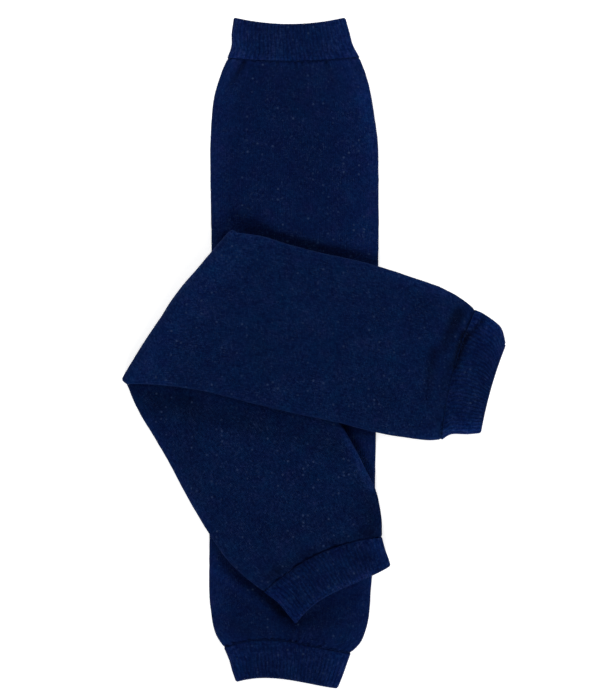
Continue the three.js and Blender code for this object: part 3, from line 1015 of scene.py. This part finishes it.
STITCH_SLANT = 0.55
STITCH_DEPTH = 0.16
LEG_NARROWS = 1.7  # how fast a stitch's leg falls away to its sides
FUZZ_SCALE, LUMP_SCALE = 2600, 420
FUZZ_HEIGHT = LUMP_HEIGHT = 0.9
BUMP_STRENGTH = 0.9
PATCH_SCALE, MOTTLE_SCALE, BLOTCH_SCALE, TONE_SCALE = 130, 900, 95, 150
DASH_SHARE, DOT_SHARE = 0.55, 1
KNOTS_PER_METRE = 430
ROUGHNESS = 0.92
SPECULAR = 0.02
SHEEN = 0.05
SHEEN_ROUGHNESS = 0.4
SHEEN_TINT = (0.3, 0.42, 1, 1)
NAVY = (0.0012, 0.0066, 0.0386, 1)
FOLDED_NAVY = (0.00136, 0.0078, 0.041, 1)
RIB_NAVY = (0.0015, 0.0084, 0.047, 1)
NAVY_FLECK = (0.0165, 0.03, 0.08, 1)
LINT_NAVY = (0.008, 0.018, 0.07, 1)
THREAD_NAVY = (0.0016, 0.0062, 0.033, 1)
CHAIN_PALE = (0.003, 0.011, 0.056, 1)
FULL_PAINTED_HIGHLIGHT = (2.6, 1.9, 1.9)
YARN_POWER = (2.7, 1.25, 0.72)
COOL = (0.5, 1.18, 1.06, 1)
WARM = (1.55, 0.82, 0.94, 1)


def cloth_shader(n, colour, normal=None):
    """Matt cotton with a soft bloom of nap where it turns away."""
    shader = n.add("ShaderNodeBsdfPrincipled", Base_Color=colour)
    if normal:
        n.feed(shader, "Normal", normal)
    shader.inputs["Roughness"].default_value = ROUGHNESS
    shader.inputs["Specular IOR Level"].default_value = SPECULAR
    shader.inputs["Sheen Weight"].default_value = SHEEN
    shader.inputs["Sheen Roughness"].default_value = SHEEN_ROUGHNESS
    shader.inputs["Sheen Tint"].default_value = SHEEN_TINT
    return n.finish(shader)


def knit_material(name, base, groove_every, groove_depth, contrast):
    """Fine knit: V-shaped stitches in the bump, stitches that differ a little, painted shade in the gaps
    between stitches, and paler flecks of fibre.
    groove_every is how many stitch columns lie between two grooves, which get painted shade, darker by
    groove_depth.
    contrast is how much the stitches differ."""
    n = Nodes(name)
    knit_map = n.add("ShaderNodeUVMap", {"uv_map": "knit"}).outputs[0]
    u, v, _ = n.add("ShaderNodeSeparateXYZ", Vector=knit_map).outputs
    place = n.add("ShaderNodeTexCoord").outputs["Object"]

    # A stitch is two legs that lean together, so its rows step down towards the middle of a column.
    from_middle = n.times(n.apart(n.math("FRACT", u), 0.5), 2)
    row = n.plus(v, n.times(from_middle, STITCH_SLANT))
    along = n.apart(n.math("FRACT", row), 0.5)
    leg = n.math("SUBTRACT", 1, n.times(n.apart(from_middle, 0.5), LEG_NARROWS))
    stitch = n.times(n.spread(along, 0.5, 0.12), n.math("MAXIMUM", leg, 0))
    fuzz = n.times(n.noise(place, FUZZ_SCALE, 3, 0.65), FUZZ_HEIGHT)
    height = n.plus(stitch, n.plus(fuzz, n.times(n.noise(place, LUMP_SCALE), LUMP_HEIGHT)))
    bump = n.add("ShaderNodeBump", Strength=BUMP_STRENGTH, Distance=STITCH_DEPTH * MM, Height=height)

    # Tone: each stitch has its own, the gaps between stitches get painted shade and the stitch tops a little
    # painted highlight, columns streak, and broad patches differ a little.
    # Red differs most between yarns and blue least, so paler yarn is also greyer.
    cell = n.add("ShaderNodeCombineXYZ", X=n.math("FLOOR", u), Y=n.math("FLOOR", row)).outputs[0]
    of_cell = n.add("ShaderNodeTexWhiteNoise", {"noise_dimensions": "3D"}, Vector=cell).outputs["Value"]
    streak = n.noise(n.stretched(knit_map, (1.3, 0.22, 1)), 1, 2, 0.7)
    dash = n.noise(n.stretched(knit_map, (0.5, 1.7, 1)), 1, 1)
    upright = n.noise(n.stretched(knit_map, (1.8, 0.5, 1)), 1, 1)
    patchy = n.spread(n.noise(place, PATCH_SCALE), 0.38, 0.62)
    # Painted shade in the grooves between columns, or between ribs.
    to_groove = n.apart(n.math("FRACT", n.math("DIVIDE", u, groove_every)), 0.5)
    groove = n.spread(to_groove, 0.22, 0.5, 1, 1 - groove_depth)
    # Painted shade in the gaps between stitches and a little painted highlight on their tops.
    yarn = n.spread(stitch, 0, 1, 0.88, 1.08)
    dark = n.math("MAXIMUM", n.spread(upright, 0.42, 0.28), n.times(n.spread(dash, 0.4, 0.28), 0.7))
    for field, *limits in (
        (of_cell, 0, 1, 0.84, 1.16),
        (streak, 0.28, 0.72, 0.8, 1.2),
        (n.noise(place, MOTTLE_SCALE, 1), 0.3, 0.7, 0.86, 1.14),
        (n.times(dark, n.spread(patchy, 0, 1, 0.4, 1)), 0, 1, 1, 0.68),
        (n.noise(place, BLOTCH_SCALE, 3, 0.6), 0.3, 0.7, 0.88, 1.12),
    ):
        yarn = n.times(yarn, n.spread(field, *limits))
    powers = {axis: n.math("POWER", yarn, contrast * power) for axis, power in zip("XYZ", YARN_POWER)}
    shade = n.scaled(n.add("ShaderNodeCombineXYZ", **powers).outputs[0], groove)
    tone = n.mix(n.spread(n.noise(place, TONE_SCALE, 3, 0.6), 0.25, 0.75), COOL, WARM)
    dyed = n.stretched(n.stretched(tone, base[:3]), shade)
    # Painted light and shade from the mesh: above 0 a paler, greyer painted highlight, below 0 painted
    # shade.
    painted_light = n.add("ShaderNodeAttribute", {"attribute_name": "painted_light_and_shade"}).outputs["Fac"]
    with_painted_highlight = n.mix(n.math("MAXIMUM", painted_light, 0), dyed, n.stretched(dyed, FULL_PAINTED_HIGHLIGHT))
    plain = n.scaled(with_painted_highlight, n.plus(1, n.math("MINIMUM", painted_light, 0)))

    # Paler fibres caught in the yarn: short dashes along the rows and the columns, and a few bright knots
    pale = n.math("MAXIMUM", n.spread(upright, 0.6, 0.76), n.times(n.spread(dash, 0.6, 0.76), 0.8))
    knots = n.add("ShaderNodeTexVoronoi", Vector=place, Scale=KNOTS_PER_METRE).outputs
    bright = n.spread(n.add("ShaderNodeSeparateXYZ", Vector=knots["Color"]).outputs[0], 0.72, 1)
    dots = n.times(n.spread(knots["Distance"], 0.3, 0.1), bright)
    flecks = n.plus(n.times(n.times(pale, patchy), DASH_SHARE), n.times(dots, DOT_SHARE))
    return cloth_shader(n, n.mix(n.math("MINIMUM", flecks, 1), plain, NAVY_FLECK), bump.outputs[0])


def fibre_material(name, base, pale, scale):
    """Loose fibre and thread: plain yarn colour that wanders between two shades."""
    n = Nodes(name)
    place = n.add("ShaderNodeTexCoord").outputs["Object"]
    return cloth_shader(n, n.mix(n.spread(n.noise(place, scale), 0.35, 0.65), base, pale))


knit = knit_material("navy_knit_look", NAVY, 1, 0.12, 1.15)
folded_knit = knit_material("navy_folded_knit_look", FOLDED_NAVY, 1, 0.12, 1.4)
rib = knit_material("navy_rib_look", RIB_NAVY, 2, 0.2, 1.8)
nap_look = fibre_material("navy_nap_look", NAVY, LINT_NAVY, 300)
lint_look = fibre_material("navy_lint_look", LINT_NAVY, NAVY_FLECK, 500)
thread_look = fibre_material("navy_thread_look", THREAD_NAVY, RIB_NAVY, 700)
chain_look = fibre_material("navy_chain_look", NAVY, CHAIN_PALE, 700)


# The six knitted pieces, and what is on them

ON_FLOOR = (floor_level, floor_level)
ON_STRAIGHT = (under_lower, under_upper)
BODY_KIND = (BODY_CLOTH, REST_WIDTH, WALES * POINTS_PER_WALE, WALES)
CUFF_KIND = (CUFF_CLOTH, CUFF_REST_WIDTH, RIBS * POINTS_PER_RIB, 2 * RIBS)


def dress(thing, material):
    thing.data.materials.append(material)
    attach(thing, "root")
    return thing


LOWER_OUTLINE = outline(LOWER_CUFF, LOWER_ARM)
UPPER_OUTLINE = outline(UPPER_ARM, UPPER_CUFF)
NAP_ON_BODY = 5200
NAP_ON_CUFF = 900
LINT_ON_BODY = 90
PILLS_ON_BODY = 170

straight_rows = stack(STRAIGHT_BODY, BODY_STEP, 0, (True, True))
lower_rows = stack(LOWER_ARM, BODY_STEP, 0, (True, False))
upper_rows = stack(UPPER_ARM, BODY_STEP, math.pi, (False, True))
folded_rows = joined(lower_rows, fold_stack(), upper_rows)

# Painted light along the cloth's edges, as paler rims: strength and reach along edge a and along edge b, and
# a paler painted band along the fold
STRAIGHT_EDGE_PAINTED_LIGHT = ((0.5, 6), (0.4, 13))
FOLDED_EDGE_PAINTED_LIGHT = ((0.04, 3), (0.14, 3))
CUFF_EDGE_PAINTED_LIGHT = ((0.38, 5), (0.5, 8))
FOLD_PAINTED_LIGHT = 0.36
FOLD_PAINTED_LIGHT_REACH = 15
# Painted highlight on ridges and painted shade in hollows, per unit of crease height and between these
# heights, and the darkest painted shade
PAINTED_LIGHT_PER_HEIGHT = 0.22
PAINTED_LIGHT_HEIGHTS = (-1.2, 0.8)
DARKEST_PAINTED_SHADE = -0.75

# How deep the cloth is drawn in at each join
TOP_DIP, BOTTOM_DIP, UPPER_DIP, LOWER_DIP = 0, 0.1, 0.9, 0.9
THREAD_SUNK = (1.2, 0.42)  # in the folded leg's joins, and in the straight leg's


def loose_fibre(name, skin, seed, count, balls):
    """Lint and pills of one piece of cloth."""
    rng = np.random.default_rng(seed)
    fibres = lint(skin, count, rng)
    at, out, along = scattered(skin, balls, rng, lowest_up=0.3, margin=4)
    sizes = rng.uniform(*PILL_SIZE, len(at))
    kinds = (("_lint", fibres), ("_pills", pills(at, out, along, sizes, rng)))
    return [dress(joined_mesh(name + kind, *shape), lint_look) for kind, shape in kinds]


# Each body: its name, sections, creases and seed, what it lies on, its swells and edge rolls, what covers
# it, the depth of its two joins, the painted light along its edges, its look, and how and on what it rests
BODIES = [
    (
        "straight_leg", straight_rows, STRAIGHT_CREASES, 11, ON_FLOOR, (2.5, 12, 0.2, 0), (1, 1),
        (LOWER_OUTLINE, UPPER_OUTLINE), (BOTTOM_DIP, TOP_DIP), STRAIGHT_EDGE_PAINTED_LIGHT, knit, "laid", ["floor"],
    ),
    (
        "folded_leg", folded_rows, FOLDED_CREASES, 23, ON_STRAIGHT, (3, 18, 0.6, 0.9), (0.1, 1),
        (UPPER_OUTLINE,), (LOWER_DIP, UPPER_DIP), FOLDED_EDGE_PAINTED_LIGHT, folded_knit, "folded",
        ["floor", "straight_leg_tube"],
    ),
]
for leg, rows, creases, seed, under, swells, rolls, covers, dips, edges, look, held, rests_on in BODIES:
    # The spots of painted light and shade for this leg, before and after its fold.
    light_shade_and_specks = (PAINTED_LIGHT_SHADE_AND_SPECKS[leg], PAINTED_LIGHT_SHADE_AND_SPECKS.get(leg + "_top", []))
    rows = rolled(rolled(rows, True, BODY_CLOTH), False, BODY_CLOTH)
    relief = body_relief(rows, seed, creases, swells, rolls, covers, dips)
    body, skin = knit_tube("knit_" + leg, rows, BODY_KIND, relief, under, edges, creases, light_shade_and_specks)
    dress(body, look)
    fibres = dress(nap("nap_" + leg, skin, NAP_ON_BODY, seed + 50), nap_look)
    on_it = [fibres] + loose_fibre("loose_" + leg, skin, seed + 60, LINT_ON_BODY, PILLS_ON_BODY)
    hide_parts(leg + "_tube")

# Each cuff: its name, its sections and their turn, whether its mouth comes first, its seed, what it lies on,
# the depth of its join and of the chain in it, the length of its plain stretch, and what it rests on
CUFFS = [
    ("straight_bottom_cuff", STRAIGHT_BOTTOM_CUFF, 0, True, 31, ON_FLOOR, BOTTOM_DIP, 0.04, 4.5, ["floor"]),
    ("straight_top_cuff", STRAIGHT_TOP_CUFF, 0, False, 37, ON_FLOOR, TOP_DIP, 0.05, 0, ["floor"]),
    ("folded_lower_cuff", LOWER_CUFF, 0, True, 41, ON_STRAIGHT, LOWER_DIP, 1.15, 0, ["straight_leg_tube"]),
    ("folded_upper_cuff", UPPER_CUFF, math.pi, False, 43, ON_STRAIGHT, UPPER_DIP, 1.15, 0, ["floor"]),
]
for node, table, angle, mouth_first, seed, under, dip, sunk, plain, rests_on in CUFFS:
    # The cuff's spots of painted light and shade serve both sides of it.
    creases, light_shade_and_specks = CUFF_CREASES[node], (PAINTED_LIGHT_SHADE_AND_SPECKS[node], PAINTED_LIGHT_SHADE_AND_SPECKS[node])
    rows = rolled(stack(table, CUFF_STEP, angle), mouth_first, CUFF_CLOTH)
    relief = cuff_relief(rows, seed, creases, dip, mouth_first, plain)
    push = scallops(rows, mouth_first)
    cuff, skin = knit_tube("rib_" + node, rows, CUFF_KIND, relief, under, CUFF_EDGE_PAINTED_LIGHT, creases, light_shade_and_specks, push)
    dress(cuff, rib)
    join = table[-1] if mouth_first else table[0]
    on_floor = under is ON_FLOOR
    chain = seam_chain("chain_" + node, join, angle, under, sunk)
    thread = seam_thread("thread_" + node, join, angle, under, THREAD_SUNK[on_floor])
    on_it = [chain, thread, nap("nap_" + node, skin, NAP_ON_CUFF, seed + 50)]
    seam_look = chain_look if on_floor else thread_look
    for thing, look in zip(on_it, (seam_look, seam_look, nap_look)):
        dress(thing, look)
    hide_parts(node)


# Floor, light and camera, in metres

FLOOR_HALF = 3
FLOOR_BELOW = 0.0002
FLOOR_COLOUR = (0.8, 0.8, 0.8, 1)
FLOOR_GLOW = 0.55
WHITE = (1, 1, 1, 1)
ROOM_LIGHT = 0.34


def stage_floor():
    """A pale table that glows a little, as one with a lit white top does."""
    n = Nodes("floor_paint")
    shine = {"Roughness": 0.8, "Specular_IOR_Level": 0.1}
    glow = {"Emission_Color": WHITE, "Emission_Strength": FLOOR_GLOW}
    shader = n.add("ShaderNodeBsdfPrincipled", Base_Color=FLOOR_COLOUR, **shine, **glow)
    mesh = bpy.data.meshes.new("floor")
    corners = [(x * FLOOR_HALF, y * FLOOR_HALF, 0) for x, y in ((-1, -1), (1, -1), (1, 1), (-1, 1))]
    mesh.from_pydata(corners, [], [(0, 1, 2, 3)])
    mesh.materials.append(n.finish(shader))
    thing = added("floor", mesh)
    thing.location.z = -FLOOR_BELOW


def softbox(name, place, size, power):
    """A round soft light that faces the middle of the pair."""
    light = bpy.data.lights.new(name, "AREA")
    light.shape = "DISK"
    light.size = size
    light.energy = power
    thing = added(name, light)
    thing.location = place
    thing.rotation_mode = "QUATERNION"
    thing.rotation_quaternion = (-thing.location).to_track_quat("-Z", "Y")


def room_light(strength):
    world = bpy.data.worlds.new("room")
    world.use_nodes = True
    background = world.node_tree.nodes["Background"]
    background.inputs[0].default_value = WHITE
    background.inputs[1].default_value = strength
    bpy.context.scene.world = world


stage_floor()
room_light(ROOM_LIGHT)
softbox("front", (-0.4, -4.6, 1.86), 2, 236)
softbox("right", (2.6, 0.6, 1.3), 1.2, 36)
softbox("back", (-0.1, 0.8, 0.36), 0.4, 5.2)

# The photograph looks straight down. Its frame is 700 pixels high, and the frame's centre lies
# 7.5 pixels left of the origin and 2.5 above it.
PIXEL = 0.46
FRAME_HEIGHT = 700 * PIXEL * MM
FRAME_CENTRE = (-7.5 * PIXEL * MM, 2.5 * PIXEL * MM)
CAMERA_HEIGHT = 2.4
SENSOR = 36

camera = added("camera", bpy.data.cameras.new("camera"))
camera.location = (*FRAME_CENTRE, CAMERA_HEIGHT)
camera.data.sensor_width = SENSOR
camera.data.lens = SENSOR * CAMERA_HEIGHT / FRAME_HEIGHT
camera.data.clip_end = 20
bpy.context.scene.camera = camera

view = bpy.context.scene.view_settings
view.view_transform = "Standard"
view.look = "None"
